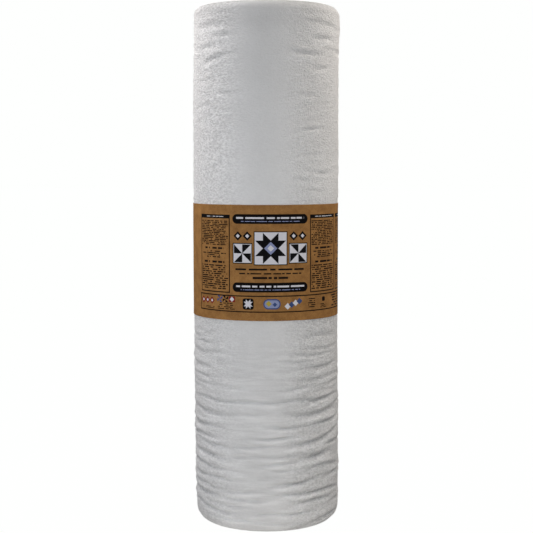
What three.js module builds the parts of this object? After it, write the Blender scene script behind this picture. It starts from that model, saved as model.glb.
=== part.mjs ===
import * as THREE from "three";

// A roll of quilt batting that stands on one end, with a printed paper band round its middle.
// Millimetres, +Z up along the roll, origin at the centre of the end it stands on.
// A bearing is an angle in degrees round the roll: 0 is the front (-Y) and 90 is +X.

// The roll
const rollLength = 1143;
const rollRadius = { bottom: 159, middle: 160.9, top: 159.6 };
const rollBow = { bottom: 1.4, middle: -2.5, top: -1.2 };
const bottomRounding = 32;
const topRounding = 20;

// The doubled cloth and its loose outer edge, which runs the length of the roll at the back
const outerEdgeBearing = 158;
const clothStep = 4.5;

// The wound ends: each ridge of an end stands for six turns of the doubled cloth
const endRidge = {
  bottom: { turns: 10, startAngle: 60, grooveDepth: 3, rows: [0, 0.2, 0.8] },
  top: { turns: 11, startAngle: 40, grooveDepth: 3.6, rows: [0, 0.5] },
};
const windingEye = { radius: 7, dip: 5 };

// The paper band
const bandBottom = 465;
const bandTop = 712;
const bandThickness = 1;
const bandClearance = 0.3;
const bandSqueeze = 0.2;
const bandShoulder = 14;
const bandStepShare = 0.6;
const bandStartColumn = 5;
const bandOverlapColumns = 2;
// how far the paper stands off where it runs straight past the cloth's outer edge
const bandBridgeLift = 0.5;

// The grid of the surface
const columns = 40;
const lowerRowSpacing = 8.2;
const upperRowSpacing = 15;
const bandRows = 3;
const roundingRowAngle = 15;

// Soft creases: the height of the middle, the bearing of the middle, how far the crease reaches
// to each side in degrees, its depth, half its width, the rise from its left end to its right end,
// and how far its middle lies over its ends
const creaseColumns = ["height", "at", "reach", "depth", "width", "tilt", "arch"];
const creaseRows = [
  // left of the front, from the band down
  [396, -58, 30, 2.2, 6, 0, 0],
  [367, -73, 30, 3.2, 6, -12, 0],
  [324, -36, 52, 2, 5.5, -10, 0],
  [267, -54, 34, 3.6, 7, -15, 3],
  [236, -70, 38, 3.9, 5.5, -5, 0],
  [211, -70, 34, 4, 5.5, -3, 0],
  [193, -45, 22, 3.6, 5.5, -16, -3],
  [172, -58, 38, 4, 6, -14, -2],
  [146, -56, 44, 3.8, 5.5, -14, 3],
  [122, -54, 34, 3.5, 5.5, -2, 0],
  [104, -69, 26, 3.8, 5.5, -15, 0],
  [86, -61, 34, 3.6, 6, 2, 5],
  [65, -33, 24, 2.6, 5.5, 2, 0],
  [54, -57, 34, 4, 5.5, -27, 0],
  // across the front
  [291, -5, 92, 3.9, 5.5, 3, -5],
  [266, -8, 28, 2, 5.5, 1, 0],
  [236, 14, 24, 3.6, 5.5, -4, 0],
  [212, 8, 26, 4, 5.5, -1, 0],
  [195, -4, 36, 3.1, 5.5, 1, 1],
  [173, 0, 44, 3.1, 5.5, 2, 0],
  [156, 8, 24, 3.4, 5.5, 3, 2],
  [142, 18, 20, 3.9, 5.5, 0, 0],
  [113, 22, 36, 4, 5.5, 21, 0],
  [95, -20, 32, 3.2, 5.5, 5, 0],
  [78, -14, 28, 3.6, 5.5, 1, 0],
  [47, 13, 38, 4, 5.5, 0, 3],
  [31, -13, 40, 4, 5.5, -14, 3],
  // right of the front, from the band down
  [431, 46, 30, 1.9, 8, -1, 0],
  [402, 57, 32, 2.2, 5.5, 3, 0],
  [390, 42, 28, 2.5, 5.5, -2, 2],
  [363, 46, 34, 2.9, 6, 4, 0],
  [338, 53, 34, 3.1, 6, 10, 0],
  [319, 24, 20, 3, 5.5, 7, 0],
  [290, 49, 32, 3.8, 5.5, 18, 0],
  [275, 74, 20, 3.1, 5.5, 2, 0],
  [263, 43, 32, 4, 7.5, 10, -2],
  [241, 55, 38, 4, 5.5, 16, 4],
  [210, 56, 34, 4, 6, 32, 0],
  [200, 28, 20, 3.6, 6, 5, 0],
  [190, 67, 20, 4, 5.5, -6, 3],
  [170, 39, 26, 4, 7.5, 16, 4],
  [145, 53, 24, 4, 5.5, -5, 5],
  [121, 68, 28, 4, 5.5, 13, 0],
  [90, 37, 46, 4, 5.5, -2, 6],
  [71, 37, 30, 4, 5.5, 8, 5],
  [57, 68, 26, 3.8, 5.5, 5, 0],
  [32, 49, 38, 4, 5.5, 27, 8],
  [19, 45, 26, 3.1, 5.5, 9, 3],
  // round the back, from the band down
  [424, 210, 34, 1.8, 5.5, -6, 0],
  [398, 168, 50, 2.5, 6, -8, 3],
  [366, 214, 44, 2.9, 6, 10, -3],
  [352, 132, 46, 3, 6, -12, 2],
  [330, 236, 34, 2.5, 5.5, 6, 0],
  [312, 188, 60, 3.5, 6.5, 6, -5],
  [284, 118, 44, 3.4, 6, 14, 4],
  [262, 226, 52, 3.6, 6, -16, 3],
  [236, 162, 52, 4, 6.5, 10, -4],
  [204, 204, 64, 4, 6.5, -6, 6],
  [184, 116, 40, 3.5, 6, -14, 0],
  [152, 178, 56, 4, 6.5, 12, -6],
  [128, 236, 44, 3.6, 6, -12, 3],
  [112, 130, 46, 3.8, 6, 8, 5],
  [82, 192, 60, 4, 6, -10, -4],
  [52, 140, 48, 4, 6, 12, 4],
  [44, 228, 44, 3.8, 5.5, 8, -3],
  [22, 176, 50, 2.8, 5.5, -6, 3],
  // above the band
  [1099, -50, 22, 3.5, 7, 1, 0],
  [1100, 54, 32, 3.1, 5.5, -15, 0],
  [1075, -37, 20, 3.8, 5.5, 9, 0],
  [1071, 48, 20, 2.7, 6, -5, 0],
  [1055, -50, 22, 3.2, 6, 10, 0],
  [1046, 70, 24, 3.4, 5.5, -6, 0],
  [1038, 34, 22, 3.2, 6, -6, 0],
  [1028, -42, 22, 3.5, 6, 30, 0],
  [955, -32, 20, 2.2, 5.5, 1, 0],
  [928, -60, 22, 2, 5.5, 24, 0],
  [896, -62, 20, 2, 5.5, 5, -3],
  [875, 34, 20, 2.9, 5.5, 11, 0],
  [822, 40, 20, 1.9, 5.5, 2, 0],
  [785, 50, 20, 2.9, 5.5, -5, -3],
  [1106, 166, 50, 2.2, 7, -6, 0],
  [1004, 204, 56, 2, 8, 12, -5],
];

// A crease's section: a trough, a lip of slumped cloth that overhangs it, and a round swell below
// it, each with its share of the depth, its place and its spread in half widths
const creaseSection = [
  { share: -1, place: -0.6, spread: 0.7 },
  { share: 0.7, place: 0.85, spread: 1.1 },
  { share: 0.45, place: -1.9, spread: 0.9 },
];

// Wide swells where the winding is looser
const swellColumns = ["height", "at", "reach", "rise", "width"];
const swellRows = [
  [1098, 78, 70, 2.6, 34],
  [930, -96, 70, 0.9, 60],
  [802, 120, 80, 0.9, 60],
  [420, 84, 60, -0.8, 40],
  [330, -98, 70, 1, 46],
  [236, 76, 60, 1, 42],
  [210, -140, 80, 1.1, 50],
  [128, 66, 66, 1.2, 36],
  [118, -84, 60, 0.9, 34],
];

const asTable = (names, rows) => rows.map((row) => Object.fromEntries(names.map((name, n) => [name, row[n]])));
const creases = asTable(creaseColumns, creaseRows);
const swells = asTable(swellColumns, swellRows);

const radians = (degrees) => (degrees * Math.PI) / 180;
const mix = (from, to, share) => from + (to - from) * share;
const smooth = (from, to, x) => {
  const share = Math.min(1, Math.max(0, (x - from) / (to - from)));
  return share * share * (3 - 2 * share);
};

// The value at a height of a quantity that is known at the bottom, middle and top of the roll
function alongRoll({ bottom, middle, top }, height) {
  const share = (2 * height) / rollLength - 1;
  return middle + ((top - bottom) / 2) * share + ((top + bottom) / 2 - middle) * share * share;
}

// How far a bearing lies from another, from -180 to 180
function turnFrom(bearing, at) {
  const turn = (((bearing - at) % 360) + 540) % 360;
  return turn - 180;
}

// 1 where the paper band lies, and 0 past its shoulders
function underBand(height) {
  return smooth(bandBottom - bandShoulder, bandBottom, height) * smooth(-bandTop - bandShoulder, -bandTop, -height);
}

// How far the surface stands out or in at a place on the side
function unevenness(bearing, height) {
  let out = 0;
  for (const crease of creases) {
    const along = turnFrom(bearing, crease.at) / crease.reach;
    if (Math.abs(along) >= 1) continue;
    const middle = crease.height + (crease.tilt / 2) * along - crease.arch * along * along;
    const across = (height - middle) / crease.width;
    const fade = (1 - along * along) ** 1.5;
    for (const { share, place, spread } of creaseSection)
      out += share * crease.depth * fade * Math.exp(-(((across - place) / spread) ** 2));
  }
  for (const swell of swells) {
    const along = turnFrom(bearing, swell.at) / swell.reach;
    const across = (height - swell.height) / swell.width;
    out += swell.rise * Math.exp(-2 * along * along - across * across);
  }
  return out * (1 - underBand(height)) - bandSqueeze * underBand(height);
}

// The radius of the side where a share of the outer turn has been laid, from 0 to 1
function sideRadius(bearing, height, turnShare, stepShare) {
  const step = clothStep * mix(1, bandStepShare, underBand(height)) * stepShare;
  return alongRoll(rollRadius, height) + step * (turnShare - 0.5) + unevenness(bearing, height);
}

function pointAt(bearing, radius, height) {
  const angle = radians(bearing);
  const shift = alongRoll(rollBow, height);
  return [shift + radius * Math.sin(angle), -radius * Math.cos(angle), height];
}

const columnBearing = (column) => outerEdgeBearing + (360 * column) / columns;

// Vertices and triangles of one closed mesh
class Surface {
  constructor() {
    this.points = [];
    this.faces = [];
  }

  add(point) {
    this.points.push(...point);
    return this.points.length / 3 - 1;
  }

  triangle(a, b, c) {
    if (a !== b && b !== c && c !== a) this.faces.push(a, b, c);
  }

  quad(a, b, c, d) {
    this.triangle(a, b, c);
    this.triangle(a, c, d);
  }

  mesh(name, material) {
    const geometry = new THREE.BufferGeometry();
    geometry.setAttribute("position", new THREE.Float32BufferAttribute(this.points, 3));
    geometry.setIndex(this.faces);
    geometry.computeVertexNormals();
    const made = new THREE.Mesh(geometry, material);
    made.name = name;
    return made;
  }
}

// Heights of the rows of the side, between the two roundings
function sideHeights() {
  const spread = (from, to, count) => Array.from({ length: count }, (_, n) => mix(from, to, n / count));
  const lower = Math.round((bandBottom - bandShoulder - bottomRounding) / lowerRowSpacing);
  const upperEnd = rollLength - topRounding;
  const upper = Math.round((upperEnd - bandTop - bandShoulder) / upperRowSpacing);
  return [
    ...spread(bottomRounding, bandBottom - bandShoulder, lower),
    bandBottom - bandShoulder,
    ...spread(bandBottom, bandTop, bandRows),
    bandTop,
    ...spread(bandTop + bandShoulder, upperEnd, upper),
    upperEnd,
  ];
}

// An end's outline, by the length run along it from where the side stops: over the rounding and
// then straight to the middle
function endOutline(rounding, run) {
  const angle = Math.min(run / rounding, Math.PI / 2);
  return {
    inset: rounding * (1 - Math.cos(angle)) + Math.max(0, run - (rounding * Math.PI) / 2),
    lift: rounding * (1 - Math.sin(angle)),
    outward: Math.cos(angle),
    endward: Math.sin(angle),
  };
}

// One end of the roll: its rows over the rounding, and its wound ridges in to the middle
function endShape(isTop) {
  const ridge = isTop ? endRidge.top : endRidge.bottom;
  const rounding = isTop ? topRounding : bottomRounding;
  const sideEnd = isTop ? rollLength - rounding : rounding;
  const startRun = rounding * radians(ridge.startAngle);
  const fullRun = (rounding * Math.PI) / 2 + alongRoll(rollRadius, sideEnd) - rounding;
  const pitch = (fullRun - windingEye.radius - startRun) / ridge.turns;
  const rowsPerTurn = ridge.rows.length;
  const turnAt = (row) => Math.floor(row / rowsPerTurn) + ridge.rows[row % rowsPerTurn];

  // A point at a run along the outline, sunk into the end by a depth
  function pointOn(column, run, stepShare, depth) {
    const bearing = columnBearing(column);
    const outline = endOutline(rounding, run);
    const height = isTop ? rollLength - outline.lift : outline.lift;
    const wholeRadius = alongRoll(rollRadius, sideEnd);
    const uneven = sideRadius(bearing, height, column / columns, stepShare) - alongRoll(rollRadius, height);
    const inner = wholeRadius - outline.inset;
    const radius = inner + uneven * (inner / wholeRadius) * outline.outward - depth * outline.outward;
    const end = isTop ? -depth * outline.endward : depth * outline.endward;
    return pointAt(bearing, radius, height + end);
  }

  // The rows over the rounding, from the side to where the ridges start
  const roundingRuns = [];
  const roundingRows = Math.round(ridge.startAngle / roundingRowAngle);
  for (let row = 1; row <= roundingRows; row += 1) roundingRuns.push((startRun * row) / roundingRows);
  const roundingPoint = (column, run) => pointOn(column, run, 1 - smooth(0, startRun, run), 0);

  // The ridges: a row of column 0 is the row one turn further in of the last column
  const ridgeRows = rowsPerTurn * ridge.turns;
  function ridgePoint(column, row) {
    const left = 1 - column / columns;
    const turn = row < rowsPerTurn ? turnAt(row) * left : turnAt(row - rowsPerTurn) + left;
    const fade = smooth(0, 1, turn);
    const depth = row % rowsPerTurn === 0 ? ridge.grooveDepth * fade : 0;
    return pointOn(column, startRun + pitch * turn, 0, depth);
  }
  return { rowsPerTurn, ridgeRows, roundingRuns, roundingPoint, ridgePoint };
}

function battingRoll(material) {
  const surface = new Surface();
  const bottom = endShape(false);
  const top = endShape(true);

  // Rows that go straight round, from the lower ridges up to the upper ones: in the first and the
  // last of them the cloth's step has run out, so the last column is the first one
  const rowMakers = [
    ...bottom.roundingRuns.toReversed().map((run) => (column) => bottom.roundingPoint(column, run)),
    ...sideHeights().map((height) => (column) => {
      const bearing = columnBearing(column);
      return pointAt(bearing, sideRadius(bearing, height, column / columns, 1), height);
    }),
    ...top.roundingRuns.map((run) => (column) => top.roundingPoint(column, run)),
  ];
  const rings = rowMakers.map((make, row) => {
    const isLast = row === 0 || row === rowMakers.length - 1;
    const ring = Array.from({ length: columns }, (_, column) => surface.add(make(column)));
    ring.push(isLast ? ring[0] : surface.add(make(columns)));
    return ring;
  });
  for (let row = 0; row + 1 < rings.length; row += 1) {
    const [low, high] = [rings[row], rings[row + 1]];
    for (let column = 0; column < columns; column += 1)
      surface.quad(low[column], low[column + 1], high[column + 1], high[column]);
    // the cloth's outer edge
    surface.quad(low[0], high[0], high[columns], low[columns]);
  }

  // The wound ends
  for (const [end, firstRing, isTop] of [
    [bottom, rings[0], false],
    [top, rings.at(-1), true],
  ]) {
    const rows = [firstRing.slice(0, columns)];
    for (let row = 1; row <= end.ridgeRows; row += 1)
      rows.push(Array.from({ length: columns }, (_, column) => surface.add(end.ridgePoint(column, row))));
    const vertex = (column, row) => (column < columns ? rows[row][column] : rows[Math.max(0, row - end.rowsPerTurn)][0]);
    for (let row = 0; row < end.ridgeRows; row += 1) {
      const [low, high] = isTop ? [row, row + 1] : [row + 1, row];
      for (let column = 0; column < columns; column += 1)
        surface.quad(vertex(column, low), vertex(column + 1, low), vertex(column + 1, high), vertex(column, high));
    }
    const eyeHeight = isTop ? rollLength - windingEye.dip : windingEye.dip;
    const eye = surface.add(pointAt(0, 0, eyeHeight));
    const rim = rows[end.ridgeRows].slice();
    for (let row = end.ridgeRows - end.rowsPerTurn; row < end.ridgeRows; row += 1) rim.push(rows[row][0]);
    rim.forEach((here, n) => {
      const next = rim[(n + 1) % rim.length];
      if (isTop) surface.triangle(here, next, eye);
      else surface.triangle(eye, next, here);
    });
  }
  return surface.mesh("batting_roll", material);
}

// The paper band: a ribbon that goes once round over the cloth's outer edge and laps over itself
function labelBand(material) {
  const surface = new Surface();
  const heights = Array.from({ length: bandRows + 1 }, (_, n) => mix(bandBottom, bandTop, n / bandRows));
  const lastColumn = bandStartColumn + columns + bandOverlapColumns;
  const lapRise = bandThickness + bandClearance;

  // The radius of the inner face at a column
  function innerRadius(column, height) {
    const round = column % columns;
    const bearing = columnBearing(column);
    const lap = column >= bandStartColumn + columns ? lapRise : 0;
    const turnShare = round === 0 ? 1 : round / columns;
    const bridge = round === 1 ? bandBridgeLift : 0;
    return sideRadius(bearing, height, turnShare, 1) + bandClearance + lap + bridge;
  }

  const sections = [];
  for (let column = bandStartColumn; column <= lastColumn; column += 1) {
    const bearing = columnBearing(column);
    const inner = heights.map((height) => surface.add(pointAt(bearing, innerRadius(column, height), height)));
    const outer = heights.map((height) =>
      surface.add(pointAt(bearing, innerRadius(column, height) + bandThickness, height)),
    );
    sections.push([...outer, ...inner.reverse()]);
  }
  const corners = sections[0].length;
  for (let n = 0; n + 1 < sections.length; n += 1) {
    const [here, next] = [sections[n], sections[n + 1]];
    for (let corner = 0; corner < corners; corner += 1) {
      const after = (corner + 1) % corners;
      surface.quad(here[corner], next[corner], next[after], here[after]);
    }
  }
  const [first, last] = [sections[0], sections.at(-1)];
  for (let row = 0; row < bandRows; row += 1) {
    const innerRow = corners - 1 - row;
    surface.quad(first[row], first[row + 1], first[innerRow - 1], first[innerRow]);
    surface.quad(last[row + 1], last[row], last[innerRow], last[innerRow - 1]);
  }
  return surface.mesh("label_band", material);
}

const cottonBatting = new THREE.MeshStandardMaterial({ color: 0xe9e8e6, roughness: 0.95, metalness: 0 });
const kraftPaper = new THREE.MeshStandardMaterial({ color: 0x8a6c4c, roughness: 0.8, metalness: 0 });

const part = new THREE.Group();
part.name = "batting_roll_with_band";
part.add(battingRoll(cottonBatting), labelBand(kraftPaper));

export default part;
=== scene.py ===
import math

import bpy
import numpy as np
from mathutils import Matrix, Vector, noise


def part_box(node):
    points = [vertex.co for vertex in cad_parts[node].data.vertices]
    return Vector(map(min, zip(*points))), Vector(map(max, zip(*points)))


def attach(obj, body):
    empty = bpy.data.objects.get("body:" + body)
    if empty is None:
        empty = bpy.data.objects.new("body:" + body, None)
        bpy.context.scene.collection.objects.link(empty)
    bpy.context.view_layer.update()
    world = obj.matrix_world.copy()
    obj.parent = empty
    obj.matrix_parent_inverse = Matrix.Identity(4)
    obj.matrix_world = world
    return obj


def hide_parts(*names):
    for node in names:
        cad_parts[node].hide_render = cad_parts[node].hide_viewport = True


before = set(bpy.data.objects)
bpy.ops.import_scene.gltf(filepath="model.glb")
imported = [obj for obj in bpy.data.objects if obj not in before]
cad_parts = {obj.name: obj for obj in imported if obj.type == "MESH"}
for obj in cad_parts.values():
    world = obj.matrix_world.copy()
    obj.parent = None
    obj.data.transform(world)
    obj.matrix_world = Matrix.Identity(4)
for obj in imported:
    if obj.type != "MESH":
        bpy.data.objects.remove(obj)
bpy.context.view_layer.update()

print("frame loaded")

# All sizes below are in millimetres unless a name or a note says otherwise. A bearing is an angle in
# degrees round the roll: 0 is the front (-Y) and 90 is +X, the viewer's right.
metresPerMm = 0.001
reliefGain = 4  # surface relief is drawn this many times deeper than real, so that it shows


def deselectAll():
    bpy.ops.object.select_all(action="DESELECT")


def paint(hexColour):
    # sRGB hex to the linear colour that a shader takes
    channels = [int(hexColour[n : n + 2], 16) / 255 for n in (1, 3, 5)]
    return (*(c / 12.92 if c <= 0.04045 else ((c + 0.055) / 1.055) ** 2.4 for c in channels), 1)


def addNode(tree, kind, inputs=(), **settings):
    # inputs go by name, or in order; a node given as an input is linked by its first output
    node = tree.nodes.new("ShaderNode" + kind)
    for name, value in settings.items():
        setattr(node, name, value)
    for name, value in inputs.items() if isinstance(inputs, dict) else enumerate(inputs):
        source = value.outputs[0] if isinstance(value, bpy.types.Node) else value
        if isinstance(source, bpy.types.NodeSocket):
            tree.links.new(source, node.inputs[name])
        else:
            node.inputs[name].default_value = source
    return node


def newTree(name):
    material = bpy.data.materials.new(name)
    material.use_nodes = True
    material.node_tree.nodes.clear()
    return material, material.node_tree


def patternScale(size):
    # a noise's scale for a feature of this many millimetres, on coordinates in metres
    return 1 / (size * metresPerMm)


def addPiece(name, points, faces, material):
    mesh = bpy.data.meshes.new(name)
    mesh.from_pydata(points.tolist(), [], faces)
    mesh.materials.append(material)
    mesh.validate()
    piece = bpy.data.objects.new(name, mesh)
    bpy.context.collection.objects.link(piece)
    deselectAll()
    piece.select_set(True)
    bpy.context.view_layer.objects.active = piece
    bpy.ops.object.shade_smooth_by_angle(angle=math.radians(50))
    return piece


# The roll's form, which the solid has too
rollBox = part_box("batting_roll")
roll = {
    "length": (rollBox[1][2] - rollBox[0][2]) / metresPerMm,
    "radius": (159, 160.9, 159.6),  # bottom, middle, top
    "bow": (1.4, -2.5, -1.2),  # how far its axis stands to the right
    "bottomRounding": 32,
    "topRounding": 20,
    "edgeBearing": 158,  # the outer edge of the cloth, at the back
    "edgeWaves": ((0.5, 95, 0), (0.25, 34, 1)),  # how far the edge strays, over what height, from where
    "clothStep": 4.5,  # two layers of cloth
    "columns": 200,
    "lowerSpacing": 2.7,
    "hiddenSpacing": 30,
    "upperSpacing": 4.4,
    "roundingSpacing": 2.8,
}
band = {
    "bottom": 465,
    "top": 712,
    "squeeze": 0.2,
    "shoulder": 14,
    "stepShare": 0.6,  # of the cloth's step, which the band presses down
}

# Creases: height, bearing of the middle, reach to each side in degrees, depth, half width,
# rise from left to right, arch of the middle over the ends
creaseNames = ("height", "at", "reach", "depth", "width", "tilt", "arch")
creaseRows = [
    # left of the front, from the band down
    (438, -60, 26, 1.1, 5, 0, 0),
    (426, -75, 22, 1.6, 6, 0, 0),
    (414, -54, 18, 2.1, 4, 0, 0),
    (394, -58, 30, 2.2, 6, 0, 0),
    (365, -73, 30, 3.2, 6, -12, 0),
    (340, -60, 22, 1.8, 4, 1, 0),
    (322, -36, 52, 2, 4.5, -10, 0),
    (316, -70, 16, 1.9, 4.5, -5, 0),
    (265, -54, 41, 3.6, 7, -15, 3),
    (234, -70, 46, 3.9, 5.5, -5, 0),
    (209, -70, 41, 4.1, 5.5, -3, 0),
    (191, -45, 26, 3.6, 5, -16, -3),
    (170, -58, 46, 4.1, 6, -14, -2),
    (144, -56, 53, 3.8, 5.5, -14, 3),
    (120, -54, 41, 3.5, 4.5, -2, 0),
    (102, -69, 31, 3.8, 5, -15, 0),
    (84, -61, 41, 3.6, 6, 2, 5),
    (63, -33, 29, 2.6, 4.5, 2, 0),
    (52, -57, 41, 4.7, 5, -27, 0),
    (50, -23, 19, 2.2, 4, 4, 0),
    # across the front
    (291, -5, 92, 4.5, 4.5, 3, -5),
    (266, -8, 28, 2.3, 5, 1, 0),
    (236, 14, 24, 4.1, 4, -4, 0),
    (212, 8, 26, 5.2, 3.6, -1, 0),
    (195, -4, 36, 3.6, 4.5, 1, 1),
    (173, 0, 44, 3.6, 5, 2, 0),
    (156, 8, 24, 3.9, 4, 3, 2),
    (142, 18, 20, 4.5, 4, 0, 0),
    (125, 0, 18, 3.2, 4, 2, 0),
    (113, 22, 36, 5.5, 5, 21, 0),
    (95, -20, 32, 3.7, 4.5, 5, 0),
    (78, -14, 28, 4.1, 4.5, 1, 0),
    (47, 13, 38, 4.8, 4, 0, 3),
    (31, -13, 40, 4.8, 4, -14, 3),
    # right of the front, from the band down
    (431, 46, 30, 1.9, 8, -1, 0),
    (402, 57, 32, 2.2, 5, 3, 0),
    (390, 42, 28, 2.5, 5, -2, 2),
    (376, 24, 18, 2.8, 4, -1, 0),
    (363, 46, 34, 2.9, 6, 4, 0),
    (338, 53, 34, 3.1, 6, 10, 0),
    (319, 24, 20, 3, 5, 7, 0),
    (323, 69, 22, 2.2, 5, 9, 0),
    (290, 49, 32, 3.8, 5, 18, 0),
    (275, 74, 18, 3.1, 4, 2, 0),
    (263, 43, 32, 6.5, 7.5, 10, -2),
    (241, 55, 38, 4.9, 5.5, 16, 4),
    (210, 56, 34, 5.5, 6, 32, 0),
    (200, 28, 18, 3.6, 6, 5, 0),
    (190, 67, 20, 4.1, 4.5, -6, 3),
    (170, 39, 26, 6.5, 7.5, 16, 4),
    (145, 53, 24, 5.5, 5.5, -5, 5),
    (121, 68, 28, 4.1, 5.5, 13, 0),
    (90, 37, 46, 6, 5, -2, 6),
    (71, 37, 30, 5.1, 5.5, 8, 5),
    (57, 68, 26, 3.8, 5, 5, 0),
    (26, 49, 38, 5.6, 5.5, 30, 8),
    (12, 45, 26, 2.2, 4, 9, 3),
    # round the back, from the band down
    (424, 210, 34, 1.8, 5, -6, 0),
    (398, 168, 50, 2.5, 6, -8, 3),
    (366, 214, 44, 2.9, 6, 10, -3),
    (352, 132, 46, 3, 6, -12, 2),
    (330, 236, 34, 2.5, 5, 6, 0),
    (312, 188, 60, 3.5, 6.5, 6, -5),
    (284, 118, 44, 3.4, 6, 14, 4),
    (262, 226, 52, 3.6, 6, -16, 3),
    (236, 162, 52, 4, 6.5, 10, -4),
    (204, 204, 64, 4, 6.5, -6, 6),
    (184, 116, 40, 3.5, 6, -14, 0),
    (152, 178, 56, 4.1, 6.5, 12, -6),
    (128, 236, 44, 3.6, 6, -12, 3),
    (112, 130, 46, 3.8, 6, 8, 5),
    (82, 192, 60, 4.1, 6, -10, -4),
    (52, 140, 48, 4, 6, 12, 4),
    (44, 228, 44, 3.8, 5.5, 8, -3),
    (22, 176, 50, 2.8, 5, -6, 3),
    # above the band
    (1096, -50, 22, 2.5, 7, 1, 0),
    (1097, 54, 32, 2.2, 5, -15, 0),
    (1072, -37, 16, 2.2, 5.5, 9, 0),
    (1068, 48, 18, 2.7, 6, -5, 0),
    (1052, -50, 22, 2.3, 6, 10, 0),
    (1043, 70, 24, 2.4, 4.5, -6, 0),
    (1035, 34, 22, 2.6, 6, -6, 0),
    (1025, -42, 22, 2.5, 6, 30, 0),
    (1004, 49, 13, 1.4, 6, -1, 0),
    (980, -56, 18, 1.1, 5, 7, 0),
    (952, -32, 16, 1.6, 5, 1, 0),
    (947, 33, 12, 2, 5, 2, 0),
    (925, -60, 22, 1.4, 4, 24, 0),
    (916, -35, 14, 1.2, 4, -8, 0),
    (893, -62, 18, 1.4, 3.6, 5, -3),
    (872, 34, 20, 2.1, 4, 11, 0),
    (868, -49, 16, 1.1, 4, -1, 0),
    (819, 40, 18, 1.9, 4, 2, 0),
    (782, 50, 18, 1.9, 5, -5, -3),
    (768, 28, 10, 2, 4, -1, 0),
    (742, 44, 12, 1.9, 4, -7, 0),
    (1103, 166, 50, 2.2, 7, -6, 0),
    (1001, 204, 56, 2, 8, 12, -5),
    (915, 140, 44, 1.6, 6, 10, 0),
    (843, 190, 50, 1.8, 7, -16, 4),
    (773, 226, 40, 1.6, 6, 6, 0),
]
# Wide swells where the winding is looser: height, bearing, reach, rise, half height
swellNames = ("height", "at", "reach", "rise", "width")
swellRows = [
    (1098, 78, 70, 2.6, 34),
    (930, -96, 70, 0.9, 60),
    (802, 120, 80, 0.9, 60),
    (420, 84, 60, -0.8, 40),
    (330, -98, 70, 1, 46),
    (236, 76, 60, 1, 42),
    (210, -140, 80, 1.1, 50),
    (128, 66, 66, 1.2, 36),
    (118, -84, 60, 0.9, 34),
]
# A crease's section: a narrow trough, a lip of slumped cloth that overhangs it, and a round swell
# below, each with its share of the depth, its place and its spread in half widths
creaseSection = ((-1.0, -0.6, 0.7), (0.7, 0.85, 1.1), (0.45, -1.9, 0.9))
# Painted shade along each crease and a painted highlight on the swell under it, which add to the light and
# shade that the folds' relief gets from the lamps: share, place and spread as above
paintedShading = ((0.32, 0.5, 1.3), (-1.15, -2.4, 1.1))
# A crease strays from its line, and is deeper and shallower along its run. A phase is the start of
# a crease's waves after those of the crease before it.
creaseWander = {
    "rise": 1.4, "turns": 9, "phase": 2.4,
    "depthShare": 0.25, "depthTurns": 7, "depthPhase": 1.7, "fadePower": 1.5,
}
# Lumps in the felt: the depth, and how long round the roll and how tall they are. A strip of the
# front is smoother: where it lies, half its width, and its share of the lumps
lump = {"depth": 0.9, "long": 26, "tall": 8}
smoothStrip = {"at": -7, "from": 14, "to": 40, "share": 0.3}
# Above the band the left side is lumpier: where, how far round it reaches, and by how much
lumpyPatch = {"at": -62, "reach": 42, "from": 700, "to": 760, "more": 0.6}
# Tones are in the millimetres of crease that darken the cloth as much. The rim of the top is painted in
# shade: from and to these heights, and these distances from the axis
topRimPaintedShade = {"from": 1070, "to": 1136, "inner": 118, "outer": 142, "tone": 7}
# Down from there the cloth is painted in shade that lessens, and just above the band it is painted paler, as
# painted light
upperPaintedLightAndShade = {"heights": (690, 785, 888, 1043, 1090, 1114), "tones": (-1.1, -1.4, 0.2, 2.2, 2.2, 0)}
# Patches of painted light, where the cloth is painted paler: height, bearing, half height, reach, tone
paintedLightPatchNames = ("height", "at", "tall", "reach", "tone")
paintedLightPatchRows = [
    (1122, 2, 14, 28, -2.5),
    (745, 66, 66, 32, -2.2),
    (44, 35, 32, 20, -4.2),
    (24, -42, 30, 30, -1.8),
]


def asRows(names, rows):
    return [dict(zip(names, row)) for row in rows]


creases = asRows(creaseNames, creaseRows)
swells = asRows(swellNames, swellRows)
paintedLightPatches = asRows(paintedLightPatchNames, paintedLightPatchRows)


def smooth(start, end, x):
    share = np.clip((x - start) / (end - start), 0, 1)
    return share * share * (3 - 2 * share)


def alongRoll(values, height):
    # the value at a height of a quantity known at the bottom, middle and top
    bottom, middle, top = values
    share = 2 * height / roll["length"] - 1
    return middle + (top - bottom) / 2 * share + ((top + bottom) / 2 - middle) * share**2


def turnFrom(bearing, at):
    return (bearing - at + 180) % 360 - 180


def underBand(height):
    low = smooth(band["bottom"] - band["shoulder"], band["bottom"], height)
    return low * smooth(-band["top"] - band["shoulder"], -band["top"], -height)


def lumps(bearing, height):
    angles, heights = np.broadcast_arrays(np.radians(bearing), height)
    radius = roll["radius"][1] / lump["long"]
    values = [
        noise.noise(Vector((radius * math.sin(angle), radius * math.cos(angle), level / lump["tall"])))
        for angle, level in zip(angles.ravel(), heights.ravel())
    ]
    away = np.abs(turnFrom(bearing, smoothStrip["at"]))
    worked = smooth(smoothStrip["from"], smoothStrip["to"], away)
    strength = smoothStrip["share"] + (1 - smoothStrip["share"]) * worked
    beside = np.exp(-((turnFrom(bearing, lumpyPatch["at"]) / lumpyPatch["reach"]) ** 2))
    above = smooth(lumpyPatch["from"], lumpyPatch["to"], height)
    strength = strength * (1 + lumpyPatch["more"] * beside * above)
    return lump["depth"] * strength * np.array(values).reshape(angles.shape)


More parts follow.
